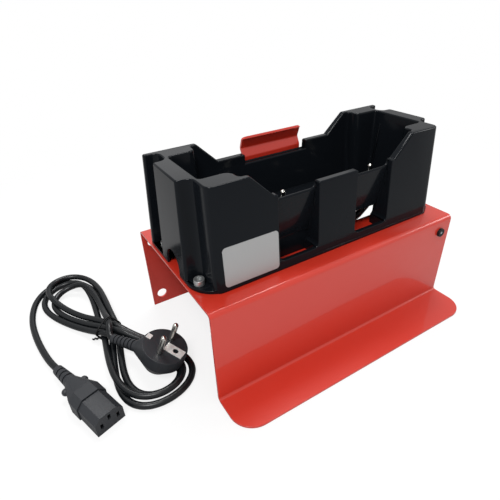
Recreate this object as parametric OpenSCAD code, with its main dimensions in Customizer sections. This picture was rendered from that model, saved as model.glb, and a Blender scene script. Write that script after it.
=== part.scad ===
// Charging cradle for a portable battery, on a folded steel bracket, with its mains lead.
// X runs along the bracket, Y from the shelf to the back wall, Z up from the surface.
// The origin is on the surface, in the middle of the bracket's length and depth.

/* [Bracket] */
// Length of the bracket along its folds
bracket_w = 260; // [240:1:300]
// Depth of the top plate over the front and back walls
bracket_d = 146; // [136:1:180]
// Height of the top plate above the surface
bracket_h = 90; // [80:1:120]
// Depth of the shelf in front of the front wall
shelf_d = 38; // [25:1:60]
// Corner radius of the shelf
shelf_corner_r = 20; // [5:1:24]
// Thickness of the steel sheet
sheet_t = 2; // [1.5:0.1:2.5]
// Outer radius of each fold
fold_r = 4.5; // [2.6:0.1:5]
// Diameter of the four holes in the back wall
wall_hole_d = 10; // [5:0.5:12]
// Distance of the wall holes from the bracket's ends
wall_hole_inset = 10; // [8:0.5:20]
// Height of the lower wall holes
wall_hole_low = 12; // [9:0.5:20]
// Distance of the upper wall holes below the top plate's upper face
wall_hole_drop = 15; // [12:0.5:25]
// Length of the cable opening in the top plate
cable_opening_l = 60; // [40:1:66]
// Width of the cable opening in the top plate
cable_opening_w = 50; // [30:1:54]
// Middle of the cable opening, to the right of the bracket's middle
cable_opening_x = 60; // [55:1:68]

/* [Cradle] */
// Length of the cradle over its foot
cradle_w = 257; // [245:1:259]
// Depth of the cradle over its foot
cradle_d = 100; // [94:1:108]
// Height of the cradle's end towers
cradle_h = 83; // [74:1:100]
// Distance of the cradle behind the front wall
cradle_set = 17; // [8:1:20]
// Thickness of the cradle's foot
foot_t = 3; // [2.5:0.1:5]
// Radius of the foot's two front corners
foot_corner_r = 24; // [5:1:25]
// Wall thickness of the moulding
wall_t = 2.2; // [1.8:0.1:2.6]
// How far the long faces lean in over the cradle's height
face_lean = 5; // [3:0.5:6]
// How far the end faces lean in over the cradle's height
end_lean = 3.5; // [2:0.5:5]
// Length of each corner rebate at the foot
rebate_w = 13; // [12:0.5:14]
// Length of each end panel between its corner rebates
end_panel_w = 48; // [40:1:50]
// Thickness of the plate that closes the rear rebates
back_plate_t = 5; // [4:0.5:6]
// Radius of the body's upright front corners
body_corner_r = 6; // [3:0.5:8]
// Radius in the root of each rebate
rebate_r = 6; // [3:0.5:8]
// Half the distance between the towers' tops
tower_x = 80; // [76:1:82]
// Length of each slope from a tower down to the rim
slope_w = 19; // [14:1:20]
// Depth of the rim below the towers
rim_drop = 18.5; // [14:0.5:20]
// Width of the arches in the end panels
arch_w = 24; // [16:1:28]
// Height of the arches above the foot's underside
arch_h = 18; // [15:1:24]

/* [Bay] */
// Length of the bay between its end walls, at the top
bay_l = 221; // [216:1:223]
// Width of the bay between its long walls, at the top
bay_w = 79; // [76:1:81]
// Width of the bay between the towers, at the top
tower_gap = 54; // [48:1:58]
// Half length of the wide middle of the bay
bay_middle_x = 86; // [84:1:90]
// Height of the bay's floor above the top plate
bay_floor_h = 22; // [20:0.5:28]
// Height of the upright band under the towers' tops
band_h = 26; // [23:1:30]
// How far the long walls lean in below that band
bay_face_lean = 5.5; // [2:0.5:6]
// How far the towers and end walls lean in over the bay's height
bay_end_lean = 5; // [2:0.5:6]
// Height and depth of the guide ribs on the end walls
guide_rib = 2; // [1:0.5:3]
// Distance between the guide ribs
guide_rib_gap = 36; // [30:1:40]

/* [Slots] */
// Half the width of the panel between the slots
slot_in = 20; // [16:1:24]
// Distance of each slot's far side from the middle
slot_out = 58; // [50:1:59]
// Height of the slots' lower edge above the top plate
slot_low = 8; // [6:0.5:12]
// Radius of the slots' lower corners
slot_r = 5; // [2:0.5:6]
// Depth of the lowered rim behind the slots, below the rest of the rim
slot_rim_drop = 6; // [3:0.5:8]
// Half width of the notch in the back rim
notch_x = 34; // [33:1:40]
// Depth of that notch below the rim
notch_drop = 8; // [5:0.5:12]

/* [Keeper plate] */
// Width of the keeper plate
keeper_w = 64; // [50:1:64]
// Length of the keeper plate's foot
keeper_foot = 19; // [16:1:20]
// Height of the keeper plate's bulge above the top plate
keeper_bend_h = 66; // [62:1:72]
// Distance that the lip reaches forward
keeper_lip = 6; // [4:0.5:8]
// Radius of the lip's corners
keeper_corner_r = 4; // [1:0.5:6]
// Distance between the keeper plate's screws
keeper_screw_gap = 36; // [26:1:44]

/* [Screws] */
// Thread diameter of the cradle screws
cradle_screw_d = 5; // [4:0.5:5]
// Distance of the cradle screws from the bracket's middle
cradle_screw_x = 121; // [120:0.5:122]
// Distance between the front and rear cradle screws
cradle_screw_gap = 66; // [64:1:68]
// Thread diameter of the small screws
small_screw_d = 4; // [3:0.5:4]

/* [Label and lamp] */
// Length of the label plate
label_w = 48; // [30:1:48]
// Height of the label plate
label_h = 33; // [20:1:36]
// Thickness of the label plate
label_t = 0.6; // [0.3:0.1:1]
// Gap between the label plate and the left slot
label_gap = 1.5; // [1:0.5:4]
// Diameter of the lamp's bezel
lamp_d = 8.5; // [7:0.5:12]
// Diameter of the lamp's body behind the bezel
lamp_body_d = 6; // [5:0.5:6.5]
// Distance of the lamp from the bracket's right end
lamp_inset = 13.5; // [11:0.5:25]
// Distance of the lamp below the top plate's upper face
lamp_drop = 14.5; // [14:0.5:25]

/* [Contacts] */
// Length of the contact rail
rail_l = 184; // [176:1:190]
// Width of the contact rail
rail_w = 16; // [14:1:20]
// Height of the contact rail
rail_h = 9; // [6:0.5:12]
// Distance between neighbouring contact pins
pin_gap = 51; // [46:1:52]
// Diameter of the contact pins
pin_d = 5; // [3:0.5:6]
// Height of the contact pins above the rail
pin_h = 14; // [10:1:16]
// Diameter of the output lead
output_d = 7; // [6:0.5:8]

/* [Charger module] */
// Length of the module's case
case_l = 105; // [95:1:110]
// Width of the module's case
case_w = 72; // [66:1:80]
// Height of the module's case
case_h = 44; // [40:1:50]
// Wall thickness of the case
case_wall = 2; // [1.6:0.1:2.6]
// Distance of the case's left end from the bracket's left end
case_inset = 45; // [40:1:50]
// Thickness of the case's cover
cover_t = 2; // [1.6:0.1:3]
// Length of the circuit board
board_l = 88; // [84:1:90]
// Width of the circuit board
board_w = 60; // [54:1:61]
// Thickness of the circuit board
board_t = 1.6; // [1:0.1:2.4]
// Height of the posts between the cover and the board
board_post_h = 5; // [3:0.5:8]
// Thickness of the heat sink's fins
fin_t = 1.5; // [1:0.1:2]

/* [Mains lead] */
// Diameter of the mains lead
cord_d = 6; // [5:0.5:7]
// Width of the appliance connector's front
connector_w = 24; // [22:0.5:26]
// Height of the appliance connector's front
connector_h = 16.4; // [15:0.2:18]
// Length of the part that enters the inlet
connector_nose = 24; // [18:1:28]
// Length of the connector's grip
connector_grip = 31; // [26:1:40]
// Diameter of the plug's face
plug_d = 39; // [36:0.5:42]
// Depth of the plug's straight rim
plug_rim = 12; // [8:1:14]
// Depth of the plug from its face to its back
plug_depth = 25; // [24:1:30]
// Diameter of the plug's pins
plug_pin_d = 4.8; // [4:0.2:5]
// Length of the plug's pins
plug_pin_l = 19; // [17:1:20]
// Distance between the plug's pins
plug_pin_gap = 19; // [17:0.5:20]

/* [Hidden] */
$fn = 48;

// Small amounts: how far a cut passes a face, and the gaps between pieces that fit and that seat
over = 1;
seat = 0.1;
clear = 0.3;

// Places that follow from the bracket
front_y = shelf_d - (bracket_d + shelf_d) / 2;
back_y = front_y + bracket_d;
plate_low = bracket_h - sheet_t;
fold_in = fold_r - sheet_t;

// Places that follow from the cradle
cradle_y = front_y + cradle_set + cradle_d / 2;
top_z = bracket_h + cradle_h;
rim_z = top_z - rim_drop;
floor_z = bracket_h + bay_floor_h;
band_z = top_z - band_h;
slope_a = atan(rim_drop / slope_w);
rebate_lean = end_lean / 2;
screw_spots = [for (sx = [-1, 1], sy = [-1, 1]) [sx * cradle_screw_x, cradle_y + sy * cradle_screw_gap / 2]];
keeper_y = cradle_y + cradle_d / 2 + clear;
keeper_screw_y = keeper_y + fold_r + keeper_foot / 2;
rail_y = cradle_y - 6;
rail_base_h = rail_h - 3;
pin_spots = [for (i = [-1.5:1.5]) i * pin_gap];
rail_screw_spots = [-pin_gap, pin_gap];

// Places that follow from the module
case_x0 = case_inset - bracket_w / 2;
case_x1 = case_x0 + case_l;
case_mid = [(case_x0 + case_x1) / 2, cradle_y + 1];
case_low = plate_low - case_h;
board_z = case_low + cover_t + board_post_h;
inlet_z = plate_low - case_h / 2;
inlet_w = 27;
inlet_h = 19.8;
post_d = 9;
post_spots = [
    for (sx = [-1, 1], sy = [-1, 1])
        [sx * (case_l / 2 - case_wall - post_d / 2 + over), sy * (case_w / 2 - case_wall - post_d / 2 + over)]
];

// Route of the output lead, from the rail to the module: X, and distances behind and below its start
output_rows = [
    [84, 0, 0], [84, 0, 9], [83, 0, 17], [78.5, 1, 25], [70, 2, 33], [59, 4, 40], [48, 6, 45],
    [37, 7, 48], [27, 7, 49], [16, 7, 49]
];
output_route = [for (row = output_rows) [row.x, rail_y + row.y, floor_z + rail_base_h / 2 - seat - row.z]];
output_end = output_route[len(output_route) - 1];

// Route of the mains lead from the connector's relief to the hank
tail_route = [
    [-234, 48, 5], [-236.4, 56, 4], [-238.4, 64, 3.2], [-240, 72, 3], [-241.5, 80, 3], [-243, 90, 3],
    [-244, 101, 3], [-244.5, 112, 3], [-244.5, 123.7, 3]
];

// Route of the mains lead from the hank's tie to the plug's relief
plug_route = [
    [-187, 59.8, 10.9], [-186.7, 58.8, 10.9], [-185.7, 55, 12], [-184.4, 51.6, 13.1], [-183.45, 49.9, 13.37]
];

// Places of the things on the mains lead
connector_front = [-209.5, -29, 0];
connector_turn = 18;
connector_back = (connector_nose + connector_grip) * [-sin(connector_turn), cos(connector_turn), 0];
connector_end = connector_front + connector_back + [0, 0, 8];
connector_aim = tail_route[0] - connector_end;
tie_spot = [-184, 70];
hank_turn = 105;
left_hank_h = 12;
right_hank_h = 7;
left_outer = [
    [-173, 74, 4], [-164, 118, 40], [-178, 172, 20], [-205, 200, 18], [-240, 188, 20],
    [-248, 150, 15], [-248, 124, 0.5], [-231, 124, 3], [-206, 86, 20], [-190, 66, 4]
];
left_inner = [
    [-184, 92, 4], [-177, 124, 20], [-190, 160, 12], [-204, 176, 6], [-217, 170, 6], [-214, 144, 15]
];
right_outer = [
    [-194, 66, 4], [-197, 20, 30], [-190, -18, 20], [-160, -42, 20], [-134, -26, 18],
    [-132, 10, 15], [-150, 60, 15], [-172, 76, 4]
];
right_inner = [
    [-184, 46, 5], [-187, 18, 15], [-179, -8, 12], [-158, -20, 12], [-139, -14, 10],
    [-137, 8, 8], [-155, 44, 8]
];
plug_face = [-150, 1, 26.9];
plug_turn = [8, -19.4, 125];
relief_d = 11;
relief_l = 32;
relief_dip = 26;
relief_turn = -10.3;

function unit(v) = v / norm(v);
function blend(a, b, k) = a + (b - a) * k;

// One corner of an outline, b, rounded to radius r between its neighbours a and c
function corner_arc(a, b, c, r, n) =
    let (
        u = unit(a - b),
        v = unit(c - b),
        half = acos(u * v) / 2,
        middle = b + unit(u + v) * r / sin(half),
        p = b + u * r / tan(half) - middle,
        q = b + v * r / tan(half) - middle,
        from = atan2(p.y, p.x),
        turn = atan2(p.x * q.y - p.y * q.x, p * q)
    )
    [for (k = [0:n]) middle + r * [cos(from + turn * k / n), sin(from + turn * k / n)]];

// A closed outline from rows of [x, y, radius], each corner with n + 1 points
function outline(rows, n = 4) = [
    for (i = [0:len(rows) - 1])
        let (
            a = rows[(i + len(rows) - 1) % len(rows)],
            b = rows[i],
            c = rows[(i + 1) % len(rows)]
        )
        each corner_arc([a.x, a.y], [b.x, b.y], [c.x, c.y], b.z, n)
];

// Rows of the right half, and the same rows mirrored to close the outline
function both_halves(rows) = concat(rows, [for (i = [len(rows) - 1:-1:0]) [-rows[i].x, rows[i].y, rows[i].z]]);

// Solid between two outlines with the same number of points
module loft(low, high, z0, z1) {
    n = len(low);
    sides = [for (i = [0:n - 1]) [i, n + i, n + (i + 1) % n, (i + 1) % n]];
    polyhedron(
        points = concat([for (p = low) [p.x, p.y, z0]], [for (p = high) [p.x, p.y, z1]]),
        faces = concat([[for (i = [0:n - 1]) i], [for (i = [n - 1:-1:0]) n + i]], sides)
    );
}

// Round tube along a route of points, one ring at each point; no stretch runs along ref
module tube(route, d, n = 10, ref = [0, 0, 1]) {
    last = len(route) - 1;
    rings = [
        for (i = [0:last])
            let (
                along = unit(route[min(i + 1, last)] - route[max(i - 1, 0)]),
                side = unit(cross(along, ref)),
                up = cross(side, along)
            )
            for (k = [0:n - 1]) route[i] + d / 2 * (cos(360 * k / n) * side + sin(360 * k / n) * up)
    ];
    walls = [
        for (i = [0:last - 1], k = [0:n - 1])
            [i * n + k, i * n + (k + 1) % n, (i + 1) * n + (k + 1) % n, (i + 1) * n + k]
    ];
    polyhedron(
        points = rings,
        faces = concat([[for (k = [n - 1:-1:0]) k], [for (k = [0:n - 1]) last * n + k]], walls)
    );
}

// Box with upright rounded edges, centred on X and Y
module rounded_box(size, r) {
    linear_extrude(size.z) rounded_rectangle(size.x, size.y, r);
}

module rounded_rectangle(w, h, r) {
    square([w - 2 * r, h], center = true);
    square([w, h - 2 * r], center = true);
    for (sx = [-1, 1], sy = [-1, 1]) {
        translate([sx * (w / 2 - r), sy * (h / 2 - r)]) circle(r);
    }
}

// Section of a bent sheet: straight runs and bends in turn, each bend in degrees, left is plus.
// The sheet lies to the left of the line from the origin.
module strip(runs, bends, t, r_in) {
    right = strip_side(runs, bends, t, r_in, 0);
    left = strip_side(runs, bends, t, r_in, t);
    polygon(concat(right, [for (i = [len(left) - 1:-1:0]) left[i]]));
}

// Points of the sheet's side at distance c from that line, six steps to a bend
function strip_side(runs, bends, t, r_in, c, i = 0, p = [0, 0], a = 0) =
    let (
        normal = [-sin(a), cos(a)],
        end = p + runs[i] * [cos(a), sin(a)],
        here = [p + c * normal, end + c * normal]
    )
    i == len(bends) ? here :
    let (
        left = sign(bends[i]),
        r = left > 0 ? t + r_in : r_in,
        middle = end + left * r * normal,
        arc = [for (k = [1:5]) let (b = a + bends[i] * k / 6) middle - (left * r - c) * [-sin(b), cos(b)]],
        b = a + bends[i]
    )
    concat(here, arc, strip_side(runs, bends, t, r_in, c, i + 1, middle - left * r * [-sin(b), cos(b)], b));

// Socket head screw that points down from z = 0
module socket_screw(d, length) {
    head_h = d;
    difference() {
        union() {
            cylinder(h = head_h, d = 1.7 * d);
            translate([0, 0, -length]) cylinder(h = length, d = d);
        }
        translate([0, 0, head_h - 0.5 * d]) cylinder(h = head_h, d = 0.95 * d, $fn = 6);
    }
}

// Pan head screw that points down from z = 0, with a cross recess
module pan_screw(d, length) {
    head_h = 0.6 * d;
    difference() {
        union() {
            rotate_extrude() {
                square([0.7 * d, head_h / 2]);
                intersection() {
                    translate([0, head_h / 2]) square([d, d]);
                    translate([0, -0.85 * d]) circle(0.85 * d + head_h);
                    square([d, head_h]);
                }
                intersection() {
                    square([d, head_h]);
                    translate([0.7 * d - head_h / 2, head_h / 2]) circle(head_h / 2);
                }
                square([0.7 * d - head_h / 2, head_h]);
            }
            translate([0, 0, -length]) cylinder(h = length, d = d);
        }
        for (a = [0, 90]) {
            rotate(a) translate([-0.45 * d, -0.1 * d, head_h - 0.35 * d]) cube([0.9 * d, 0.2 * d, d]);
        }
    }
}

// Hexagon nut that hangs down from z = 0
module nut(d) {
    translate([0, 0, -0.8 * d]) {
        difference() {
            cylinder(h = 0.8 * d, d = 1.85 * d, $fn = 6);
            translate([0, 0, -over]) cylinder(h = d + 2 * over, d = d + seat);
        }
    }
}

module at(spots, z) {
    for (p = spots) {
        translate([p.x, p.y, z]) children();
    }
}

// Turns a section drawn in Y and Z so that it runs along X, centred
module along_x(length) {
    translate([-length / 2, 0, 0]) rotate([90, 0, 90]) linear_extrude(length) children();
}

// Turns a section drawn in X and Z so that it runs along Y between two places
module along_y(y0, y1) {
    translate([0, y1, 0]) rotate([90, 0, 0]) linear_extrude(y1 - y0) children();
}

// The folded sheet: shelf, front wall, top plate and back wall
module bracket() {
    color("#c8231c") {
        difference() {
            along_x(bracket_w) {
                translate([front_y - shelf_d, 0]) {
                    strip(
                        [shelf_d - fold_in, bracket_h - 2 * fold_r, bracket_d - 2 * fold_r, bracket_h - fold_r],
                        [90, -90, -90], sheet_t, fold_in
                    );
                }
            }
            shelf_corners();
            wall_holes();
            at(screw_spots, 0) drill(cradle_screw_d + 0.5);
            at(keeper_screw_spots(), 0) drill(small_screw_d + 0.5);
            at(module_screw_spots(), 0) drill(small_screw_d + 0.5);
            translate([cable_opening_x, cradle_y + 3, plate_low - over]) {
                rounded_box([cable_opening_l, cable_opening_w, sheet_t + 2 * over], 6);
            }
            translate([bracket_w / 2 - lamp_inset, front_y - over, bracket_h - lamp_drop]) {
                rotate([-90, 0, 0]) cylinder(h = sheet_t + 2 * over, d = lamp_body_d + clear);
            }
        }
    }
}

// A hole through the top plate
module drill(d) {
    translate([0, 0, plate_low - over]) cylinder(h = sheet_t + 2 * over, d = d);
}

module shelf_corners() {
    for (sx = [-1, 1]) {
        difference() {
            translate([sx * bracket_w / 2 - (shelf_corner_r + over) / 2, front_y - shelf_d - over, -over]) {
                translate([sx * -(shelf_corner_r - over) / 2, 0, 0]) {
                    cube([shelf_corner_r + over, shelf_corner_r + over, sheet_t + 2 * over]);
                }
            }
            translate([sx * (bracket_w / 2 - shelf_corner_r), front_y - shelf_d + shelf_corner_r, -2 * over]) {
                cylinder(h = sheet_t + 4 * over, r = shelf_corner_r, $fn = 96);
            }
        }
    }
}

module wall_holes() {
    for (sx = [-1, 1], z = [wall_hole_low, bracket_h - wall_hole_drop]) {
        translate([sx * (bracket_w / 2 - wall_hole_inset), back_y - sheet_t - over, z]) {
            rotate([-90, 0, 0]) cylinder(h = sheet_t + 2 * over, d = wall_hole_d);
        }
    }
}

// Outline of the cradle's body at k, from 0 at its foot to 1 at its top, drawn in by g.
// The closing plate behind the rear rebates is left out of the hollow inside.
function body_rows(k, g, with_plate) =
    let (
        face = cradle_d / 2 - face_lean * k - g,
        end = cradle_w / 2 - end_lean * k - g,
        inner = cradle_w / 2 - rebate_w - rebate_lean * k - g,
        panel = end_panel_w / 2 - 2 * k - g,
        root = face - back_plate_t,
        front = [
            [inner, cradle_y - face, body_corner_r - g],
            [inner, cradle_y - panel, rebate_r + g],
            [end, cradle_y - panel, 2.6 - g / 2],
            [end, cradle_y + panel, 2.6 - g / 2],
            [inner, cradle_y + panel, rebate_r + g]
        ],
        plate = [
            [inner, cradle_y + root, rebate_r],
            [end, cradle_y + root, 1.5],
            [end, cradle_y + face, 1.5]
        ]
    )
    both_halves(concat(front, with_plate ? plate : [[inner, cradle_y + face, body_corner_r - g]]));

// Outline of the bay at height z, pushed out by g
function bay_rows(z, g) =
    let (
        k = (top_z - z) / (top_z - floor_z),
        below_band = max(0, (band_z - z) / (band_z - floor_z)),
        middle = bay_w / 2 - bay_face_lean * below_band + g,
        pad = tower_gap / 2 - bay_end_lean * k + g,
        end = bay_l / 2 - bay_end_lean * k + g,
        x = bay_middle_x + g
    )
    both_halves([
        [x, cradle_y - middle, 3 + g / 2], [x, cradle_y - pad, 7 - g], [end, cradle_y - pad, 3 + g],
        [end, cradle_y + pad, 3 + g], [x, cradle_y + pad, 7 - g], [x, cradle_y + middle, 3 + g / 2]
    ]);

// The space of the bay, from its floor past its top, pushed out by g
module bay(g) {
    loft(outline(bay_rows(floor_z - g, g)), outline(bay_rows(band_z, g)), floor_z - g, band_z);
    loft(outline(bay_rows(band_z, g)), outline(bay_rows(top_z + over, g)), band_z, top_z + over);
}

// What is cut away between the towers, so that the long walls slope down to the rim
module rim_cut(g) {
    shift = g / sin(slope_a) - g / tan(slope_a);
    x0 = tower_x - slope_w + shift;
    x1 = x0 + (rim_drop + g + over) / tan(slope_a);
    along_y(cradle_y - cradle_d, cradle_y + cradle_d) {
        polygon([[-x0, rim_z - g], [x0, rim_z - g], [x1, top_z + over], [-x1, top_z + over]]);
    }
}

// Block as wide as a slot, rounded below, from the height low up past the top
module slot_block(y0, y1, low) {
    translate([0, y1, 0]) {
        rotate([90, 0, 0]) {
            hull() {
                for (x = [slot_in + slot_r, slot_out - slot_r]) {
                    translate([x, low + slot_r, 0]) cylinder(h = y1 - y0, r = slot_r);
                }
                translate([slot_in, top_z, 0]) cube([slot_out - slot_in, over, y1 - y0]);
            }
        }
    }
}

// The hollow between the skins, open at the foot, and the two slots that open it to the front
module hollow() {
    low = bracket_h - over;
    high = top_z - wall_t;
    face_y = cradle_y - cradle_d / 2;
    wall_y = cradle_y - bay_w / 2 + bay_face_lean + wall_t;
    difference() {
        union() {
            difference() {
                loft(
                    outline(body_rows(-over / cradle_h, wall_t, false)),
                    outline(body_rows((high - bracket_h) / cradle_h, wall_t, false)),
                    low, high
                );
                rim_cut(wall_t);
                for (side = [0, 1]) {
                    mirror([side, 0, 0]) {
                        translate([slot_in - wall_t, face_y, low - over]) {
                            cube([slot_out - slot_in + 2 * wall_t, wall_y - face_y, cradle_h + 4 * over]);
                        }
                    }
                }
            }
            for (side = [0, 1]) {
                mirror([side, 0, 0]) {
                    slot_block(face_y - over, wall_y + over, bracket_h + slot_low);
                    translate([slot_in + wall_t, face_y + 2 * wall_t, low]) {
                        cube([slot_out - slot_in - 2 * wall_t, wall_y - face_y, slot_low + 2 * slot_r]);
                    }
                }
            }
        }
        bay(wall_t);
    }
}

// The arch under the right end panel
module arch() {
    translate([cradle_w / 2, cradle_y, bracket_h + arch_h - arch_w / 2]) {
        hull() {
            rotate([0, 90, 0]) cylinder(h = 2 * rebate_w, d = arch_w, center = true);
            translate([0, 0, -arch_h]) cube([2 * rebate_w, arch_w, over], center = true);
        }
    }
}

// One guide rib on an end wall of the bay, which leans with the wall and is rounded at its top
module guide_rib(side, y) {
    foot_x = bay_l / 2 - bay_end_lean;
    hull() {
        translate([side * foot_x, y, floor_z]) cube([2 * guide_rib, guide_rib, over], center = true);
        translate([side * bay_l / 2, y, top_z - band_h / 2]) {
            rotate([90, 0, 0]) cylinder(h = guide_rib, r = guide_rib, center = true, $fn = 16);
        }
    }
}

// The rib under the bay's floor, behind the left slot
module floor_rib() {
    translate([-bay_middle_x, cradle_y - bay_w / 2 + bay_face_lean - 0.5, bracket_h]) {
        cube([bay_middle_x + 8, wall_t, bay_floor_h - over]);
    }
}

// The foot round the body, with large front corners
module foot() {
    hull() {
        for (sx = [-1, 1]) {
            foot_corner(sx, -1, foot_corner_r);
            foot_corner(sx, 1, 2);
        }
    }
}

module foot_corner(sx, sy, r) {
    translate([sx * (cradle_w / 2 - r), cradle_y + sy * (cradle_d / 2 - r), bracket_h]) {
        cylinder(h = foot_t, r = r);
    }
}

// The double-walled moulding that takes the battery
module cradle() {
    color("#18181a") {
        difference() {
            union() {
                difference() {
                    loft(outline(body_rows(0, 0, true)), outline(body_rows(1, 0, true)), bracket_h, top_z);
                    rim_cut(0);
                }
                foot();
            }
            hollow();
            bay(0);
            for (side = [0, 1]) {
                mirror([side, 0, 0]) {
                    slot_block(cradle_y - cradle_d / 2 - over, cradle_y, rim_z - slot_rim_drop);
                    arch();
                }
            }
            translate([-notch_x, cradle_y, rim_z - notch_drop]) {
                cube([2 * notch_x, cradle_d, cradle_h]);
            }
            at(screw_spots, bracket_h - over) cylinder(h = foot_t + 2 * over, d = cradle_screw_d + 0.5);
            for (x = rail_screw_spots) {
                translate([x, rail_y, floor_z - wall_t - over]) {
                    cylinder(h = wall_t + 2 * over, d = small_screw_d + 0.5);
                }
            }
            translate([output_route[0].x, output_route[0].y, floor_z - wall_t - over]) {
                cylinder(h = wall_t + 2 * over, d = output_d + 2);
            }
        }
        for (side = [-1, 1], sy = [-1, 1]) {
            guide_rib(side, cradle_y + sy * guide_rib_gap / 2);
        }
        floor_rib();
    }
}

function keeper_screw_spots() = [for (sx = [-1, 1]) [sx * keeper_screw_gap / 2, keeper_screw_y]];

// The formed plate behind the cradle; its lip stands in the notch of the back rim
module keeper_plate() {
    lean = atan(face_lean / cradle_h);
    back = 26;
    ahead = 20;
    rise = keeper_bend_h - 6 * cos(back) - sheet_t - fold_r;
    runs = [keeper_foot, rise, 6, (keeper_lip - sheet_t) / sin(ahead) - fold_r, 1];
    bends = [lean - 90, -back - lean, back + ahead, 45];
    height = sheet_t - min([for (p = strip_side(runs, bends, sheet_t, fold_in, 0)) p.y]);
    color("#c8231c") {
        difference() {
            intersection() {
                along_x(keeper_w) {
                    translate([keeper_y + keeper_foot + fold_r, bracket_h + sheet_t]) {
                        rotate(180) strip(runs, bends, sheet_t, fold_in);
                    }
                }
                along_y(cradle_y, back_y) {
                    translate([0, bracket_h]) rounded_rectangle(keeper_w, 2 * height, keeper_corner_r);
                }
            }
            at(keeper_screw_spots(), bracket_h - over) cylinder(h = sheet_t + 2 * over, d = small_screw_d + 0.5);
        }
    }
}

module keeper_screws() {
    color("silver") at(keeper_screw_spots(), bracket_h + sheet_t) pan_screw(small_screw_d, 10);
}

module keeper_nuts() {
    color("silver") at(keeper_screw_spots(), plate_low) nut(small_screw_d);
}

module cradle_screws() {
    color("silver") at(screw_spots, bracket_h + foot_t) socket_screw(cradle_screw_d, 12);
}

module cradle_nuts() {
    color("silver") at(screw_spots, plate_low) nut(cradle_screw_d);
}

// The bare plate on the left of the front skin
module label_plate() {
    mid = [-(slot_out + label_gap + label_w / 2), foot_t + 1 + label_h / 2];
    lean = atan(face_lean / cradle_h);
    color("#b9bcc0") {
        translate([mid.x, cradle_y - cradle_d / 2, bracket_h]) {
            rotate([90 - lean, 0, 0]) translate([0, mid.y, 0]) rounded_box([label_w, label_h, label_t], 3);
        }
    }
}

// Places a turned piece at the lamp's hole, pointing out of the front wall
module at_lamp() {
    translate([bracket_w / 2 - lamp_inset, front_y, bracket_h - lamp_drop]) rotate([90, 0, 0]) children();
}

module lamp_bezel() {
    color("#202022") {
        at_lamp() {
            rotate_extrude() {
                difference() {
                    union() {
                        square([lamp_d / 2 - 0.6, 2.4]);
                        square([lamp_d / 2, 1.8]);
                        translate([lamp_d / 2 - 0.6, 1.8]) circle(0.6);
                        translate([0, -9]) square([lamp_body_d / 2, 9]);
                    }
                    translate([0, -10]) square([lamp_body_d / 2 - 1, 14]);
                }
            }
        }
    }
}

module lamp_lens() {
    r = lamp_body_d / 2 - 1 - seat / 2;
    color("#9aa0a4") {
        at_lamp() {
            rotate_extrude() {
                translate([0, -7]) square([r, 8.6]);
                intersection() {
                    translate([0, 1.6]) square([r, r]);
                    translate([0, 1.6 + 1 - r]) circle(r);
                }
            }
        }
    }
}

module lamp_nut() {
    color("silver") {
        at_lamp() {
            translate([0, 0, -sheet_t]) {
                difference() {
                    translate([0, 0, -3]) cylinder(h = 3, d = lamp_body_d + 4, $fn = 6);
                    translate([0, 0, -4]) cylinder(h = 5, d = lamp_body_d + seat);
                }
            }
        }
    }
}

// The moulded bar on the bay's floor that carries the contact pins
module contact_rail() {
    color("#222224") {
        difference() {
            translate([0, rail_y, floor_z]) {
                rounded_box([rail_l, rail_w, rail_base_h], rail_w / 2 - 1);
                at([for (x = pin_spots) [x, 0]], 0) cylinder(h = rail_h, d = pin_d + 6);
            }
            for (x = pin_spots) {
                translate([x, rail_y, floor_z - over]) cylinder(h = rail_h + 2 * over, d = pin_d + seat);
            }
            for (x = rail_screw_spots) {
                translate([x, rail_y, floor_z - over]) cylinder(h = rail_h + 2 * over, d = small_screw_d + seat);
            }
            translate([output_route[0].x, output_route[0].y, floor_z - over]) {
                cylinder(h = rail_base_h / 2 + over, d = output_d + 2);
            }
        }
    }
}

module contact_pins() {
    color("#d8c48a") {
        for (x = pin_spots) {
            translate([x, rail_y, floor_z]) {
                rotate_extrude() {
                    square([pin_d / 2, rail_h + pin_h - pin_d / 2]);
                    intersection() {
                        square([pin_d, rail_h + pin_h]);
                        translate([0, rail_h + pin_h - pin_d / 2]) circle(pin_d / 2);
                    }
                }
            }
        }
    }
}

module contact_screws() {
    color("silver") {
        for (x = rail_screw_spots) {
            translate([x, rail_y, floor_z + rail_base_h]) pan_screw(small_screw_d, rail_base_h + wall_t + 3);
        }
    }
}

module output_lead() {
    color("#1b1b1d") tube(output_route, output_d, 12, [0, 1, 0]);
}

function module_screw_spots() = [
    for (sx = [-1, 1], sy = [-1, 1])
        [case_mid.x + sx * (case_l / 2 - 18), case_mid.y + sy * (case_w / 2 - 8)]
];

// The module's case, open below, screwed up against the top plate
module module_case() {
    color("#2a2a2c") {
        difference() {
            translate([case_mid.x, case_mid.y, case_low + cover_t]) {
                difference() {
                    rounded_box([case_l, case_w, case_h - cover_t], 3);
                    translate([0, 0, -over]) {
                        rounded_box([case_l - 2 * case_wall, case_w - 2 * case_wall, case_h - cover_t - 3 + over], 1);
                    }
                }
                at(post_spots, 0) cylinder(h = case_h - cover_t - 1, d = post_d);
            }
            at([for (p = post_spots) p + case_mid], case_low + cover_t - over) {
                cylinder(h = 12, d = small_screw_d - 0.8);
            }
            at(module_screw_spots(), plate_low - 3 - over) cylinder(h = 5, d = small_screw_d + seat);
            translate([case_x0 - over, case_mid.y, inlet_z]) {
                rotate([90, 0, 90]) {
                    linear_extrude(case_wall + 2 * over) square([inlet_w + clear, inlet_h + clear], center = true);
                }
                for (sy = [-1, 1]) {
                    translate([0, sy * 20, 0]) rotate([0, 90, 0]) cylinder(h = case_wall + 2 * over, d = 3 + seat);
                }
            }
            translate([case_x1 - case_wall - over, output_end.y, output_end.z]) {
                rotate([0, 90, 0]) cylinder(h = case_wall + 2 * over, d = output_d + clear);
            }
        }
    }
}

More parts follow.
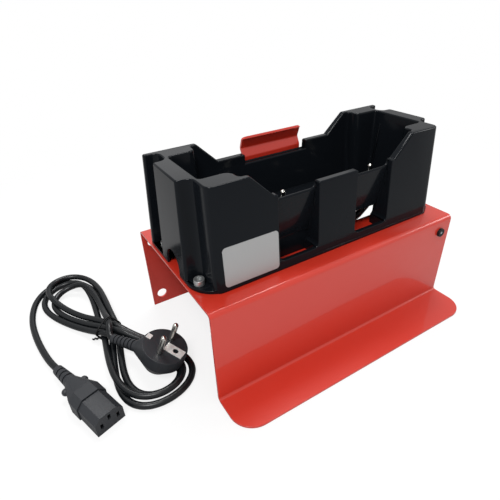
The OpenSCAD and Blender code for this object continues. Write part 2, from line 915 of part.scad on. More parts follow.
// The cover below, with its board posts and air slots
module module_cover() {
    color("#2a2a2c") {
        translate([case_mid.x, case_mid.y, case_low]) {
            difference() {
                union() {
                    rounded_box([case_l, case_w, cover_t], 3);
                    at(board_spots(), 0) cylinder(h = cover_t + board_post_h, d = 6);
                }
                at(post_spots, -over) cylinder(h = cover_t + 2 * over, d = small_screw_d - 0.5);
                for (i = [-4:4]) {
                    translate([6 * i, 0, -over]) rounded_box([2.4, case_w / 2, cover_t + 2 * over], 1.1);
                }
            }
        }
    }
}

function board_spots() = [for (sx = [-1, 1], sy = [-1, 1]) [sx * (board_l / 2 - 14), sy * (board_w / 2 - 4)]];

module module_screws() {
    color("silver") at(module_screw_spots(), bracket_h) pan_screw(small_screw_d, 6);
}

module cover_screws() {
    color("silver") {
        for (p = post_spots) {
            translate([case_mid.x + p.x, case_mid.y + p.y, case_low]) {
                rotate([180, 0, 0]) pan_screw(small_screw_d - 0.9, 8);
            }
        }
    }
}

module circuit_board() {
    color("#1f5b35") {
        translate([case_mid.x, case_mid.y, board_z]) {
            linear_extrude(board_t) {
                difference() {
                    square([board_l, board_w], center = true);
                    for (sx = [-1, 1], sy = [-1, 1]) {
                        translate([sx * board_l / 2, sy * board_w / 2]) square(14, center = true);
                    }
                }
            }
        }
    }
}

module transformer() {
    color("#3b3a38") {
        translate([case_mid.x + 0.04 * board_l, case_mid.y - 0.15 * board_w, board_z + board_t]) {
            difference() {
                translate([-14, -15, 0]) cube([28, 30, 24]);
                translate([-15, -10, 6]) cube([30, 20, 12]);
            }
            translate([0, 0, 6]) rounded_box([34, 19, 12], 5);
        }
    }
}

module capacitors() {
    color("#27364f") {
        for (p = [[-0.28, 0.2], [-0.28, -0.17], [0.36, 0.23]]) {
            translate([case_mid.x + p.x * board_l, case_mid.y + p.y * board_w, board_z + board_t]) {
                cylinder(h = 22, d = 16);
            }
        }
    }
}

module heat_sink() {
    color("#a9adb1") {
        translate([case_mid.x + 0.06 * board_l, case_mid.y + 0.33 * board_w, board_z + board_t]) {
            translate([-18, -6, 0]) cube([36, 12, 3]);
            for (i = [0:4]) {
                translate([-18 + i * (36 - fin_t) / 4, -6, 0]) cube([fin_t, 12, 24]);
            }
        }
    }
}

// Turns a section drawn in Y and Z so that it points out of the case's left end
module at_inlet() {
    translate([case_x0, case_mid.y, inlet_z]) rotate([90, 0, -90]) children();
}

module inlet_outline(w, h) {
    polygon([
        [-w / 2, -h / 2], [w / 2, -h / 2], [w / 2, h / 2 - 5], [w / 2 - 5, h / 2],
        [5 - w / 2, h / 2], [-w / 2, h / 2 - 5]
    ]);
}

// The appliance inlet in the case's left end
module mains_inlet() {
    color("#1c1c1e") {
        at_inlet() {
            difference() {
                union() {
                    linear_extrude(3) rounded_rectangle(49, 23, 3);
                    translate([0, 0, -14]) linear_extrude(15) inlet_outline(inlet_w, inlet_h);
                }
                translate([0, 0, -12]) linear_extrude(16) inlet_outline(connector_w + 0.5, connector_h + 0.5);
                for (sx = [-1, 1]) {
                    translate([sx * 20, 0, -over]) cylinder(h = 5, d = 3 + clear);
                }
                for (x = [-7, 7]) {
                    translate([x - 1, -4 - 1, -15]) cube([2 + seat, 4 + seat, 5]);
                }
                translate([-1, 1, -15]) cube([2 + seat, 4 + seat, 5]);
            }
        }
    }
}

module inlet_blades() {
    color("#c9cccf") {
        at_inlet() {
            for (p = [[-7, -5], [7, -5], [0, 1]]) {
                translate([p.x - 1 + seat / 2, p.y + seat / 2, -17]) cube([2, 4, 18]);
            }
        }
    }
}

module inlet_screws() {
    color("silver") {
        at_inlet() {
            for (sx = [-1, 1]) {
                translate([sx * 20, 0, 3]) pan_screw(3, 8);
            }
        }
    }
}

// Places a piece drawn along Y, from the connector's front back to its relief
module at_connector() {
    translate(connector_front) rotate(connector_turn) children();
}

module connector_outline(w, h, cut) {
    translate([0, h / 2]) {
        polygon([
            [-w / 2, -h / 2], [w / 2, -h / 2], [w / 2, h / 2 - cut], [w / 2 - cut, h / 2],
            [cut - w / 2, h / 2], [-w / 2, h / 2 - cut]
        ]);
    }
}

// The appliance connector: nose, grip with its ears, and three slots in the front
module lead_connector() {
    color("#26272a") {
        difference() {
            union() {
                at_connector() {
                    along_y(0, connector_nose + connector_grip / 2) connector_outline(connector_w, connector_h, 5);
                }
                hull() {
                    at_connector() {
                        along_y(connector_nose, connector_nose + 12) connector_outline(connector_w + 2, 18, 6);
                    }
                    at_connector_relief() translate([0, 0, -3]) cylinder(h = 3, d = 13, $fn = 32);
                }
                at_connector() {
                    hull() {
                        for (sx = [-1, 1]) {
                            translate([sx * 8.4, connector_nose + connector_grip - 5, 8.4]) sphere(3.2, $fn = 20);
                        }
                    }
                }
            }
            at_connector() {
                for (x = [-7, 7]) {
                    translate([x - 1.2, -over, 5]) cube([2.4, 17, 5]);
                }
                translate([-1.2, -over, 9]) cube([2.4, 17, 5]);
            }
        }
    }
}

// Ribbed sleeve, drawn from z = 0 up, narrowing to the cord
module relief(length, d0, d1, ribs) {
    pitch = length / ribs;
    difference() {
        cylinder(h = length, d1 = d0, d2 = d1);
        for (i = [1:ribs - 1]) {
            translate([0, 0, i * pitch - pitch / 4]) {
                difference() {
                    cylinder(h = pitch / 3, d = d0 + 2);
                    translate([0, 0, -over]) cylinder(h = pitch, d = blend(d0, d1, i / ribs) - 2);
                }
            }
        }
    }
}

// The relief's place on the connector's grip, aimed at the first point of the lead's route
module at_connector_relief() {
    translate(connector_end) {
        rotate([0, acos(connector_aim.z / norm(connector_aim)), atan2(connector_aim.y, connector_aim.x)]) children();
    }
}

module connector_relief() {
    color("#26272a") at_connector_relief() relief(norm(connector_aim) - seat, 12, cord_d + 3, 4);
}

module lead_tail() {
    color("#2c2d30") tube(tail_route, cord_d);
}

// The tied figure-of-eight hank, as one solid of its outer shape
module lead_hank() {
    color("#2c2d30") {
        linear_extrude(left_hank_h) hank_side(left_outer, left_inner, 1);
        linear_extrude(right_hank_h) hank_side(right_outer, right_inner, -1);
        translate([tie_spot.x, tie_spot.y, 2]) {
            rotate(hank_turn) translate([-9, -11, 0]) cube([18, 22, left_hank_h]);
        }
    }
}

// Outline of one side of the hank, cut off just short of the tie
module hank_side(outer, inner, side) {
    difference() {
        polygon(outline(outer));
        polygon(outline(inner));
        translate([tie_spot.x, tie_spot.y]) {
            rotate(hank_turn) translate([-13.3 * side, 0]) square([30, 60], center = true);
        }
    }
}

module lead_tie() {
    color("#1a1a1c") {
        translate([tie_spot.x, tie_spot.y, left_hank_h / 2 + 2]) {
            rotate([90, 0, hank_turn + 90]) {
                linear_extrude(3, center = true) {
                    difference() {
                        rounded_rectangle(25.2, left_hank_h + 3.4, 3);
                        square([22 + seat, left_hank_h + seat], center = true);
                    }
                }
            }
        }
    }
}

module plug_tail() {
    color("#2c2d30") tube(plug_route, cord_d);
}

// Places a piece in the plug's own frame: Z out of its face, X towards the cord
module at_plug() {
    translate(plug_face) rotate(plug_turn) children();
}

// The angled plug
module plug_body() {
    color("#26272a") {
        at_plug() {
            difference() {
                hull() {
                    translate([0, 0, -plug_rim]) cylinder(h = plug_rim, d = plug_d, $fn = 48);
                    translate([2, 0, -plug_depth]) cylinder(h = 2, d = plug_d - 16, $fn = 32);
                    at_relief() translate([0, 0, -3]) cylinder(h = 3, d = relief_d + 2, $fn = 32);
                }
                for (sy = [-1, 1]) {
                    translate([0, sy * plug_pin_gap / 2, -8]) cylinder(h = 9, d = plug_pin_d + seat);
                }
                translate([-10, 0, -10]) cylinder(h = 11, d = 5);
            }
        }
    }
}

// The relief's place on the plug, turned down towards the hank
module at_relief() {
    translate([23, 0, -18]) rotate([0, 90 + relief_dip, relief_turn]) children();
}

module plug_relief() {
    color("#26272a") at_plug() at_relief() relief(relief_l, relief_d, cord_d + 2, 7);
}

module plug_pins() {
    color("#d5d6d8") {
        at_plug() {
            for (sy = [-1, 1]) {
                translate([0, sy * plug_pin_gap / 2, -8]) {
                    cylinder(h = 8 + plug_pin_l - plug_pin_d / 2, d = plug_pin_d);
                    translate([0, 0, 8 + plug_pin_l - plug_pin_d / 2]) sphere(d = plug_pin_d);
                }
            }
        }
    }
}

module earth_strips() {
    color("#c3c5c8") {
        at_plug() {
            difference() {
                translate([-17.5, -4.5, 0]) cube([17, 9, 0.6]);
                translate([-10, 0, -over]) cylinder(h = 1, d = 5.2);
            }
            translate([14, -2.5, 0]) cube([4.5, 5, 0.6]);
        }
    }
}

bracket();
cradle();
keeper_plate();
keeper_screws();
keeper_nuts();
cradle_screws();
cradle_nuts();
label_plate();
lamp_bezel();
lamp_lens();
lamp_nut();
contact_rail();
contact_pins();
contact_screws();
output_lead();
module_case();
module_cover();
module_screws();
cover_screws();
circuit_board();
transformer();
capacitors();
heat_sink();
mains_inlet();
inlet_blades();
inlet_screws();
lead_connector();
connector_relief();
lead_tail();
lead_hank();
lead_tie();
plug_tail();
plug_relief();
plug_body();
plug_pins();
earth_strips();
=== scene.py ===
from math import cos, pi, radians, sin

import bmesh
import bpy
from mathutils import Euler, Matrix, Vector
from mathutils.geometry import convex_hull_2d


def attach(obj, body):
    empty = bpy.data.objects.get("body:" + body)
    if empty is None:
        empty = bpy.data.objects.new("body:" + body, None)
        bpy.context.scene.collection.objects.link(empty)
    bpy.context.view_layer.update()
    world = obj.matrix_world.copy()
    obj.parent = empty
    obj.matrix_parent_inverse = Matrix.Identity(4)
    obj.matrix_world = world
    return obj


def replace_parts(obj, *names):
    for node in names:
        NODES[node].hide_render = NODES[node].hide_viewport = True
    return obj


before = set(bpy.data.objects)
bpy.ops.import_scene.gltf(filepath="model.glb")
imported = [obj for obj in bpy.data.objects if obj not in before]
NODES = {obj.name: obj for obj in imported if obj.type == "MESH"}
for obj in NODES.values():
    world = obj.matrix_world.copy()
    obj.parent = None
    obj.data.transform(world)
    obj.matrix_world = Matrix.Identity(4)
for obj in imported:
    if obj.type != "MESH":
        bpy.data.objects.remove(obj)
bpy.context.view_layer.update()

# Blender counts in metres. Sizes here are in millimetres unless a comment says otherwise
MM = 0.001


# Shader helpers

def linear(hex_colour):
    """Linear RGBA of an sRGB colour written as #rrggbb."""
    parts = [int(hex_colour[i:i + 2], 16) / 255 for i in (1, 3, 5)]
    return tuple(c / 12.92 if c <= 0.04045 else ((c + 0.055) / 1.055) ** 2.4 for c in parts) + (1.0,)


def node(tree, kind, x, y, inputs=(), **settings):
    """Adds a shader node at x, y, with its settings and its inputs' values or links."""
    made = tree.nodes.new(kind)
    made.location = (x, y)
    for name, value in settings.items():
        setattr(made, name, value)
    for name, value in dict(inputs).items():
        if isinstance(value, bpy.types.NodeSocket):
            tree.links.new(value, made.inputs[name])
        else:
            made.inputs[name].default_value = value
    return made


def finish_of(name, colour, roughness, metallic=0.0, coat=0.0, coat_roughness=0.1, ior=1.5,
              grain=0.0, grain_size=1.0, mottle=0.0, mottle_size=16.7):
    """A material with its fine surface grain and its broad patches of more and less gloss.

    grain is the height of the grain and grain_size its width. mottle is how far the roughness
    goes up and down from its middle, in patches mottle_size wide.
    """
    material = bpy.data.materials.new(name)
    material.use_nodes = True
    tree = material.node_tree
    tree.nodes.clear()
    where = node(tree, "ShaderNodeTexCoord", -900, 0).outputs["Object"]
    shader = node(tree, "ShaderNodeBsdfPrincipled", 0, 0, {
        "Base Color": linear(colour), "Roughness": roughness, "Metallic": metallic, "IOR": ior,
        "Coat Weight": coat, "Coat Roughness": coat_roughness,
    })
    if grain:
        fine = node(tree, "ShaderNodeTexNoise", -650, -200, {
            "Vector": where, "Scale": 1 / (grain_size * MM), "Detail": 2.0,
        })
        bump = node(tree, "ShaderNodeBump", -300, -250, {
            "Height": fine.outputs["Fac"], "Distance": grain * MM,
        })
        tree.links.new(bump.outputs["Normal"], shader.inputs["Normal"])
    if mottle:
        broad = node(tree, "ShaderNodeTexNoise", -650, 150, {
            "Vector": where, "Scale": 1 / (mottle_size * MM), "Detail": 3.0,
        })
        spread = node(tree, "ShaderNodeMapRange", -450, 150, {
            "Value": broad.outputs["Fac"], "To Min": roughness - mottle, "To Max": roughness + mottle,
        })
        tree.links.new(spread.outputs["Result"], shader.inputs["Roughness"])
    out = node(tree, "ShaderNodeOutputMaterial", 300, 0)
    tree.links.new(shader.outputs["BSDF"], out.inputs["Surface"])
    return material


# Piece helpers

def paint(thing, material):
    thing.data.materials.clear()
    thing.data.materials.append(material)


def add_piece(name, mesh, material, smooth_angle=35.0):
    """Puts a mesh in the scene as a piece of the object, on its one body."""
    mesh.shade_smooth()
    mesh.set_sharp_from_angle(angle=radians(smooth_angle))
    piece = bpy.data.objects.new(name, mesh)
    bpy.context.scene.collection.objects.link(piece)
    paint(piece, material)
    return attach(piece, "root")


def merged_copy(name):
    """A copy of a CAD node's mesh with its doubled corners joined and its flat faces whole."""
    mesh = NODES[name].data.copy()
    work = bmesh.new()
    work.from_mesh(mesh)
    bmesh.ops.remove_doubles(work, verts=work.verts, dist=0.002 * MM)
    bmesh.ops.dissolve_limit(work, angle_limit=radians(0.4), verts=work.verts, edges=work.edges)
    work.to_mesh(mesh)
    work.free()
    return mesh


def rounded(name, material, radius, angle=34.0, segments=2, wide_above=None, narrow=0.5):
    """A copy of a CAD node with the edges sharper than angle rounded, shown in the node's place.

    Edges below the height wide_above get the share narrow of the radius, and then inward edges
    get less than outward ones.
    """
    piece = add_piece(name + "_rounded", merged_copy(name), material)
    edge = piece.modifiers.new("edges", "BEVEL")
    edge.width = radius * MM
    edge.segments = segments
    edge.harden_normals = True
    if wide_above is None:
        edge.limit_method = "ANGLE"
        edge.angle_limit = radians(angle)
    else:
        edge.limit_method = "WEIGHT"
        edge.use_clamp_overlap = False
        weigh_edges(piece.data, radians(angle), wide_above * MM, narrow)
    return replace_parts(piece, name)


# An inward edge gets this share of an outward one's rounding, so that its fillet stays clear of the
# outward edge close beside it, as on the cradle's narrow foot
INWARD_SHARE = 0.25


def weigh_edges(mesh, angle, height, narrow):
    """Gives edges sharper than angle their share of the rounding: 1 above height, narrow below it."""
    work = bmesh.new()
    work.from_mesh(mesh)
    weight = work.edges.layers.float.new("bevel_weight_edge")
    for edge in work.edges:
        if edge.is_manifold and edge.calc_face_angle() > angle:
            share = 1.0 if min(v.co.z for v in edge.verts) > height else narrow
            edge[weight] = share if edge.is_convex else share * INWARD_SHARE
    work.to_mesh(mesh)
    work.free()


# Camera, at the photograph's place: metres, degrees and a lens for a 36 mm sensor
CAMERA_PLACE = (-0.21447, -0.2554, 0.28096)
CAMERA_AZIMUTH, CAMERA_ELEVATION, CAMERA_ROLL = -30.51, 32.48, -2.24
CAMERA_LENS = 29.83


def aim_camera(place, azimuth, elevation, roll, lens):
    ahead = Vector((
        -sin(radians(azimuth)) * cos(radians(elevation)),
        cos(radians(azimuth)) * cos(radians(elevation)),
        -sin(radians(elevation)),
    ))
    right = ahead.cross(Vector((0, 0, 1))).normalized()
    up = right.cross(ahead)
    tilt = radians(roll)
    right, up = right * cos(tilt) + up * sin(tilt), up * cos(tilt) - right * sin(tilt)
    data = bpy.data.cameras.new("camera")
    data.lens = lens
    data.sensor_width = 36
    data.clip_start = 0.01
    camera = bpy.data.objects.new("camera", data)
    camera.matrix_world = Matrix((
        (right.x, up.x, -ahead.x, place[0]),
        (right.y, up.y, -ahead.y, place[1]),
        (right.z, up.z, -ahead.z, place[2]),
        (0, 0, 0, 1),
    ))
    bpy.context.scene.collection.objects.link(camera)
    bpy.context.scene.camera = camera


aim_camera(CAMERA_PLACE, CAMERA_AZIMUTH, CAMERA_ELEVATION, CAMERA_ROLL, CAMERA_LENS)


# Materials

# glossy red powder coat on steel, with the slight waves of its flow, about 2 mm wide: sharp reflections
RED = finish_of(
    "red_powder_coat", "#c52d1b", 0.4, coat=0.85, coat_roughness=0.035, grain=0.012, grain_size=2.2,
    mottle=0.07,
)
# black ABS moulded in a polished mould: deep black faces and thin bright lines along its rims. Its IOR
# is set below the usual 1.5, because the photograph's black mirrors the white surroundings only faintly
BLACK = finish_of("black_moulding", "#111418", 0.13, ior=1.24, grain=0.008, grain_size=3.0, mottle=0.04)
# black plastic from a textured mould, its grain drawn about twice as coarse as it is: even, dull faces
DULL_BLACK = finish_of("textured_black_plastic", "#111113", 0.5, ior=1.4, grain=0.02, grain_size=0.6)
# silver-grey label plate, rolled and bare: a soft, even sheen
LABEL = finish_of("silver_label", "#a8aaaa", 0.42, metallic=0.3, grain=0.005, grain_size=0.8)
# zinc-plated steel of screws and nuts: a dull metal shine with cloudy patches
ZINC = finish_of("zinc_plated_steel", "#c4c6c6", 0.32, metallic=0.85, mottle=0.06)
# bright nickel plate of the contact pins and the plug's pins: mirrors its surroundings
NICKEL = finish_of("bright_nickel", "#d8d6d0", 0.17, metallic=1.0)
# satin nickel plate of the earth strips, pale from every side: its near-white colour and low metal share are
# partly the plate's own colour and partly a painted reflection of the bright surroundings
STRIP = finish_of("satin_nickel_with_painted_reflection", "#f2f1ee", 0.4, metallic=0.35)
# clear grey lens of the lamp: a wet-looking dot
LENS = finish_of("grey_lens", "#8d9396", 0.12, coat=0.6, coat_roughness=0.03)
# extruded plastic sheath of the mains lead: a satin line of light along it
SHEATH = finish_of("lead_sheath", "#101316", 0.33, ior=1.45, grain=0.01, grain_size=0.8)
# soft plastic moulded onto the ends of the mains lead: dark grey and matt
MOULDED = finish_of("lead_moulding", "#2a2c30", 0.46, ior=1.45, grain=0.015, grain_size=0.7)
# green solder mask of the circuit board, glossy
BOARD = finish_of("solder_mask", "#1f5b35", 0.3, coat=0.4)
# varnished steel core of the transformer, dark and a little shiny
CORE = finish_of("varnished_core", "#3b3835", 0.4, metallic=0.5)
# shrunk plastic sleeve of the capacitors, smooth dark blue
SLEEVE = finish_of("capacitor_sleeve", "#1d2c48", 0.25)
# extruded aluminium of the heat sink, silky
FIN = finish_of("extruded_aluminium", "#b4b7ba", 0.35, metallic=1.0)

# CAD nodes that are shown as they are
PLAIN = {
    "keeper_screws": ZINC, "keeper_nuts": ZINC, "cradle_nuts": ZINC, "lamp_nut": ZINC, "lamp_lens": LENS,
    "lamp_bezel": DULL_BLACK, "contact_pins": NICKEL, "contact_screws": ZINC, "output_lead": SHEATH,
    "module_screws": ZINC, "cover_screws": ZINC, "circuit_board": BOARD, "transformer": CORE,
    "capacitors": SLEEVE, "heat_sink": FIN, "inlet_blades": NICKEL, "inlet_screws": ZINC,
    "plug_pins": NICKEL, "connector_relief": MOULDED, "plug_relief": MOULDED,
}
for name, material in PLAIN.items():
    paint(NODES[name], material)

# Pieces with rounded edges. The cradle's rims, above 128, are rounder than its slots and its foot
rounded("bracket", RED, 0.4)
rounded("keeper_plate", RED, 0.6)
rounded("cradle", BLACK, 1.4, wide_above=128, narrow=0.45, segments=3)
rounded("cradle_screws", ZINC, 0.35)
rounded("label_plate", LABEL, 0.15, segments=1)
rounded("contact_rail", DULL_BLACK, 0.4)
rounded("module_case", DULL_BLACK, 0.5)
rounded("module_cover", DULL_BLACK, 0.3, segments=1)
rounded("mains_inlet", DULL_BLACK, 0.4)
connector = rounded("lead_connector", MOULDED, 0.9)
plug = rounded("plug_body", MOULDED, 1.2)


# The plug's earth strips, in the plug's own frame: Z out of its face, X towards the cord
PLUG_PLACE = (-150.0, 1.0, 26.9)
PLUG_TURN = (8.0, -19.4, 125.0)

# Middle along X, length and width of the plate round the earth hole and of the small strip
EARTH_PLATES = [(-9.0, 17.0, 9.0), (16.25, 4.5, 5.0)]
EARTH_HOLE, EARTH_HOLE_X = 5.0, -10.0
EARTH_THICK = 0.65


def earth_strips():
    """The plate round the earth hole and the small strip at the other side of the plug's face."""
    work = bmesh.new()
    hole = bmesh.ops.create_circle(work, segments=32, radius=EARTH_HOLE / 2)["verts"]
    bmesh.ops.translate(work, vec=(EARTH_HOLE_X, 0, 0), verts=hole)
    for middle, length, width in EARTH_PLATES:
        plate = bmesh.ops.create_grid(work, x_segments=1, y_segments=1, size=0.5)["verts"]
        bmesh.ops.scale(work, vec=(length, width, 1), verts=plate)
        bmesh.ops.translate(work, vec=(middle, 0, 0), verts=plate)
    # only the outlines are kept, and filled anew so that the hole stays open
    bmesh.ops.delete(work, geom=work.faces[:], context="FACES_ONLY")
    bmesh.ops.triangle_fill(work, edges=work.edges[:], use_beauty=True)
    grown = bmesh.ops.extrude_face_region(work, geom=work.faces[:])["geom"]
    raised = [v for v in grown if isinstance(v, bmesh.types.BMVert)]
    bmesh.ops.translate(work, vec=(0, 0, EARTH_THICK), verts=raised)
    bmesh.ops.recalc_face_normals(work, faces=work.faces)
    turn = Euler([radians(a) for a in PLUG_TURN]).to_matrix().to_4x4()
    place = Matrix.Scale(MM, 4) @ Matrix.Translation(PLUG_PLACE) @ turn
    bmesh.ops.transform(work, matrix=place, verts=work.verts)
    mesh = bpy.data.meshes.new("plug_earth_strips")
    work.to_mesh(mesh)
    work.free()
    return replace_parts(add_piece("plug_earth_strips", mesh, STRIP), "earth_strips")


strips = earth_strips()


# The mains lead, from the connector's relief round the hank and into the plug's relief
CORD = 6.0
TIE = (-184.0, 70.0)
LEFT, RIGHT = (-0.26, 0.966), (0.2, -0.98)

# Route from the connector's relief round the outside of the hank to its tie
START = [
    (-234, 48, 5), (-236.4, 56, 4), (-239, 66, 3), (-241.5, 80, 3), (-243.6, 97, 3), (-244.6, 115, 3),
    (-244, 131, 3), (-241.2, 147, 3), (-235.8, 162, 3), (-226.5, 174.5, 3), (-213.5, 181.5, 3),
    (-200.5, 180, 3), (-189, 170.5, 3), (-180.8, 154, 3), (-175.8, 133, 3), (-174.8, 111, 3), (-177.8, 90, 3),
]
# Each lobe of the hank: axis, reach, half width, lean to one side, then its place across the tie
# and its height there going out, its height in the middle, and its place and height coming back
LOBES = [
    (RIGHT, 104, 29, 0.5, 3, 3, 3, 6.5, 9),
    (LEFT, 113, 21, -1, 6.5, 9, 9, 9.5, 3),
    (RIGHT, 95, 25.5, 4.5, 9.5, 3, 3, -6.5, 9),
    (LEFT, 107, 21.5, 5.5, -6.5, 9, 3, -4.5, 3),
    (RIGHT, 99, 23, 7.5, -4.5, 3, 9, 0, 9),
    (LEFT, 93, 17.5, -1, 0, 9, 3, 3, 15),
]
# Last pass over the tie and down into the plug's relief
LAST_PASS = (3.0, 15)
END = [(-183.6, 58, 14.6), (-184.7, 53.5, 14), (-183.4, 49.85, 13.37)]

LOBE_POINTS = 16
# Near the tie the strands are stacked, and within this distance of it they come down to the floor
STACKED = 32
# Value of sin u cos u (2 + sin u) half-way along a lobe's side, where it is as wide as it says
BULGE = 1.354
# Distance between the points whose heights are settled. Points fewer than NEIGHBOURS apart along the
# route are one stretch of cord, which doesn't cross itself
POINT_STEP = 4.0
NEIGHBOURS = 6


def across_of(axis):
    """The direction across the bundle that goes with a lobe's axis, nearly the same for both axes."""
    ax, ay = axis
    return (ay, -ax) if ay > 0 else (-ay, ax)


def beside_tie(axis, along, across, height):
    """A point measured from the tie along a lobe's axis and across it."""
    ax, ay = axis
    bx, by = across_of(axis)
    return (TIE[0] + along * ax + across * bx, TIE[1] + along * ay + across * by, height)


def ease(x):
    x = min(max(x, 0), 1)
    return x * x * (3 - 2 * x)


def lobe(axis, reach, half, lean, slot_out, z_out, z_mid, slot_back, z_back):
    """The points of one lobe of the hank, from the tie out and nearly back to it."""
    points = []
    for i in range(LOBE_POINTS):
        u = pi * i / LOBE_POINTS
        along = reach * sin(u)
        across = -half * sin(u) * cos(u) * (2 + sin(u)) / BULGE + lean * sin(u) ** 2
        across += slot_out + (slot_back - slot_out) * (1 - cos(u)) / 2
        near = 1 - ease(along / STACKED)
        height = z_mid + ((z_out if u < pi / 2 else z_back) - z_mid) * near
        points.append(beside_tie(axis, along, across, height))
    return points


def evenly(points, step, parts=8):
    """Points every step along a smooth curve through the given ones, drawn in parts between two of them."""
    fine = []
    for i in range(len(points) - 1):
        before, here = points[max(i - 1, 0)], points[i]
        there, after = points[i + 1], points[min(i + 2, len(points) - 1)]
        for k in range(parts):
            t = k / parts
            fine.append(0.5 * (
                2 * here + (there - before) * t + (2 * before - 5 * here + 4 * there - after) * t ** 2
                + (3 * here - before - 3 * there + after) * t ** 3
            ))
    fine.append(points[-1])
    spaced, left = [fine[0]], step
    for a, b in zip(fine, fine[1:]):
        run = (b - a).length
        while run >= left:
            a = a + (b - a) * (left / run)
            run = (b - a).length
            spaced.append(a)
            left = step
        left -= run
    return spaced + [points[-1]]


def settled(points, step, apart=6.15, slope=0.42, turns=60):
    """Lays the strands on the floor and on each other, so that none runs through another.

    Where two strands cross, the one planned clearly higher, or else the later one, lies on top,
    with the distance apart between their middles. No strand falls steeper than slope from where it
    is lifted. The heights are smoothed in every turn but the last two. The points at both ends stay
    where the reliefs hold them.
    """
    clearly = 0.6
    count = len(points)
    crossings = []
    for i in range(count):
        for j in range(i + NEIGHBOURS, count):
            gap = (points[i].xy - points[j].xy).length
            if gap < apart:
                upper, lower = (i, j) if points[i].z > points[j].z + clearly else (j, i)
                crossings.append((upper, lower, (apart ** 2 - gap ** 2) ** 0.5))
    held = {0, 1, count - 3, count - 2, count - 1}
    floor = CORD / 2
    z = [p.z if i in held else floor for i, p in enumerate(points)]
    for turn in range(turns):
        for upper, lower, rise in crossings:
            if upper not in held:
                z[upper] = max(z[upper], z[lower] + rise)
        for i in list(range(1, count - 1)) + list(range(count - 2, 0, -1)):
            if i not in held:
                z[i] = max(z[i], z[i - 1] - slope * step, z[i + 1] - slope * step)
        if turn < turns - 2:
            mean = [(z[i - 1] + 2 * z[i] + z[i + 1]) / 4 for i in range(1, count - 1)]
            inner = [z[i + 1] if i + 1 in held else max(floor, m) for i, m in enumerate(mean)]
            z = [z[0]] + inner + [z[-1]]
    return [Vector((p.x, p.y, h)) for p, h in zip(points, z)]


def lead_route():
    """The lead's route in metres. Every second settled point is enough to draw it."""
    points = list(START)
    for row in LOBES:
        points += lobe(*row)
    points.append(beside_tie(LEFT, 0, *LAST_PASS))
    spaced = settled(evenly([Vector(p) for p in points + END], POINT_STEP), POINT_STEP)
    return [p * MM for p in spaced[:-3:2] + spaced[-2:]]


def smooth_curve(name, route, diameter, material):
    """A round cord or wire of that diameter through the route's points, which are in metres."""
    data = bpy.data.curves.new(name, "CURVE")
    data.dimensions = "3D"
    data.bevel_depth = diameter * MM / 2
    data.bevel_resolution = 4
    data.resolution_u = 5
    data.use_fill_caps = True
    spline = data.splines.new("BEZIER")
    spline.bezier_points.add(len(route) - 1)
    for point, place in zip(spline.bezier_points, route):
        point.co = place
        point.handle_left_type = point.handle_right_type = "AUTO"
    curve = bpy.data.objects.new(name, data)
    bpy.context.scene.collection.objects.link(curve)
    data.materials.append(material)
    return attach(curve, "root")


route = lead_route()
lead = smooth_curve("mains_lead", route, CORD, SHEATH)
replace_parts(lead, "lead_tail", "lead_hank", "plug_tail")


# The wire tie round the hank's waist
WIRE = 1.6
WIRE_SLACK = 0.3
# The tie sits this far from the waist's middle, and its loop ends this much further along
TIE_ALONG, TIE_PITCH = 1.0, 0.5
# The two twisted ends: out from the loop, up, and further along the bundle
TIE_ENDS = [(1.6, 4.2, 0.9), (2.8, 2.6, 1.8), (3.8, 4.0, 2.6), (5.0, 2.8, 3.4), (6.2, 3.8, 4.0)]


def strands_at_tie(along, reach=20):
    """Where the lead crosses the hank's waist: across the bundle and up."""
    axis, across = Vector(LEFT), Vector(across_of(LEFT))
    placed = [p / MM - Vector((*TIE, 0)) for p in route]
    found = []
    for a, b in zip(placed, placed[1:]):
        before, after = a.xy.dot(axis) - along, b.xy.dot(axis) - along
        if before * after <= 0 and before != after:
            there = a + (b - a) * (before / (before - after))
            if abs(there.xy.dot(across)) < reach:
                found.append((there.xy.dot(across), there.z))
    return found


def wire_tie():
    """A wire tie drawn round the strands at the hank's waist, with its two twisted ends."""
    reach = (CORD + WIRE) / 2 + WIRE_SLACK
    # just clear of the floor
    lowest = WIRE / 2 + 0.2
    around = [
        Vector((across + reach * cos(pi * k / 8), max(up + reach * sin(pi * k / 8), lowest)))
        for across, up in strands_at_tie(TIE_ALONG) for k in range(16)
    ]
    loop = [around[i] for i in convex_hull_2d(around)]
    # the loop starts and ends at its lower side away from the plug, where the ends are twisted
    first = min(range(len(loop)), key=lambda i: loop[i].x + 0.6 * loop[i].y)
    loop = loop[first:] + loop[:first] + [loop[first]]
    points = [
        beside_tie(LEFT, TIE_ALONG + TIE_PITCH * i / len(loop), p.x, p.y) for i, p in enumerate(loop)
    ]
    points += [beside_tie(LEFT, TIE_ALONG + along, loop[0].x - out, up) for out, up, along in TIE_ENDS]
    return smooth_curve("wire_tie", [Vector(p) * MM for p in points], WIRE, DULL_BLACK)


tie = wire_tie()
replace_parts(tie, "lead_tie")


# Floor, background and light, in metres and watts

# Distance from the middle, and there the share of plain white that the camera sees on the floor:
# less near the object, for its soft shadow, and all white further out
FLOOR_WHITE_NEAR, FLOOR_WHITE_FAR = (0.2, 0.8), (0.6, 1.0)
FLOOR_HALF = 6.0
FLOOR_GREY = 0.86
# Reflections see a darker floor, which gives the front wall the contrast it has in the photograph
REFLECTED_GREY = 0.4
SOFT_WORLD = 0.5
LIGHTS = [
    # name, place, the point it is aimed at, width, height, power
    ("key", (-0.7, -0.6, 1.5), (0, 0, 0.08), 0.45, 0.35, 15),
    ("top", (0.25, 0.5, 1.5), (0, 0, 0.1), 0.9, 0.4, 14),
    ("side", (1.4, -0.6, 0.8), (0, 0, 0.08), 0.4, 0.6, 4),
    ("behind", (0.6, 1.15, 0.78), (-0.05, 0, 0.17), 0.9, 0.4, 0.7),
]


def grey(value):
    return (value, value, value, 1)


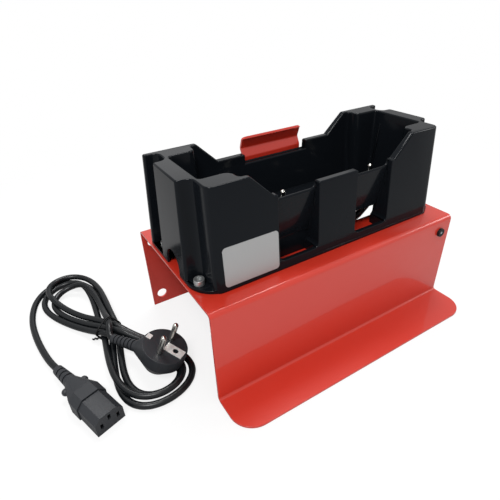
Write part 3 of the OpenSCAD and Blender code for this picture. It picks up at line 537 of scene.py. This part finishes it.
def pale_floor():
    """The floor's material: a matt pale floor that turns white for the camera away from the object."""
    material = bpy.data.materials.new("pale_floor")
    material.use_nodes = True
    tree = material.node_tree
    tree.nodes.clear()
    ray = node(tree, "ShaderNodeLightPath", -800, 300)
    where = node(tree, "ShaderNodeTexCoord", -1200, 100).outputs["Object"]
    away = node(tree, "ShaderNodeVectorMath", -1000, 100, {"Vector": where}, operation="LENGTH")
    fade = node(tree, "ShaderNodeMapRange", -800, 100, {
        "Value": away.outputs["Value"], "From Min": FLOOR_WHITE_NEAR[0], "From Max": FLOOR_WHITE_FAR[0],
        "To Min": FLOOR_WHITE_NEAR[1], "To Max": FLOOR_WHITE_FAR[1],
    })
    share = node(tree, "ShaderNodeMath", -350, 200, operation="MULTIPLY")
    tree.links.new(ray.outputs["Is Camera Ray"], share.inputs[0])
    tree.links.new(fade.outputs["Result"], share.inputs[1])
    dimmed = node(
        tree, "ShaderNodeMix", -600, -50, {"Factor": ray.outputs["Is Glossy Ray"]}, data_type="RGBA",
    )
    dimmed.inputs["A"].default_value = grey(FLOOR_GREY)
    dimmed.inputs["B"].default_value = grey(REFLECTED_GREY)
    matt = node(tree, "ShaderNodeBsdfDiffuse", -350, 0, {"Color": dimmed.outputs["Result"]})
    white = node(tree, "ShaderNodeEmission", -350, -200, {"Color": grey(1), "Strength": 1.0})
    mix = node(tree, "ShaderNodeMixShader", -100, 0)
    tree.links.new(share.outputs[0], mix.inputs[0])
    tree.links.new(matt.outputs[0], mix.inputs[1])
    tree.links.new(white.outputs[0], mix.inputs[2])
    out = node(tree, "ShaderNodeOutputMaterial", 150, 0)
    tree.links.new(mix.outputs[0], out.inputs["Surface"])
    return material


def stage_floor():
    mesh = bpy.data.meshes.new("floor")
    work = bmesh.new()
    bmesh.ops.create_grid(work, x_segments=1, y_segments=1, size=FLOOR_HALF)
    work.to_mesh(mesh)
    work.free()
    floor = bpy.data.objects.new("floor", mesh)
    bpy.context.scene.collection.objects.link(floor)
    floor.data.materials.append(pale_floor())


def white_world():
    """A world that is white for the camera and lights the object softly."""
    world = bpy.data.worlds.new("studio")
    bpy.context.scene.world = world
    world.use_nodes = True
    tree = world.node_tree
    tree.nodes.clear()
    ray = node(tree, "ShaderNodeLightPath", -700, 200)
    seen = node(tree, "ShaderNodeMath", -450, 200, operation="MAXIMUM")
    tree.links.new(ray.outputs["Is Camera Ray"], seen.inputs[0])
    tree.links.new(ray.outputs["Is Transmission Ray"], seen.inputs[1])
    soft = node(tree, "ShaderNodeBackground", -450, 0, {"Color": grey(1), "Strength": SOFT_WORLD})
    white = node(tree, "ShaderNodeBackground", -450, -200, {"Color": grey(1), "Strength": 1.0})
    mix = node(tree, "ShaderNodeMixShader", -200, 0)
    tree.links.new(seen.outputs[0], mix.inputs[0])
    tree.links.new(soft.outputs[0], mix.inputs[1])
    tree.links.new(white.outputs[0], mix.inputs[2])
    out = node(tree, "ShaderNodeOutputWorld", 0, 0)
    tree.links.new(mix.outputs[0], out.inputs["Surface"])


def soft_light(name, place, target, width, height, power):
    data = bpy.data.lights.new(name, "AREA")
    data.shape = "RECTANGLE"
    data.size = width
    data.size_y = height
    data.energy = power
    light = bpy.data.objects.new(name, data)
    aim = (Vector(target) - Vector(place)).to_track_quat("-Z", "Y")
    light.matrix_world = Matrix.Translation(place) @ aim.to_matrix().to_4x4()
    bpy.context.scene.collection.objects.link(light)


stage_floor()
white_world()
for light in LIGHTS:
    soft_light(*light)
bpy.context.scene.view_settings.view_transform = "Standard"
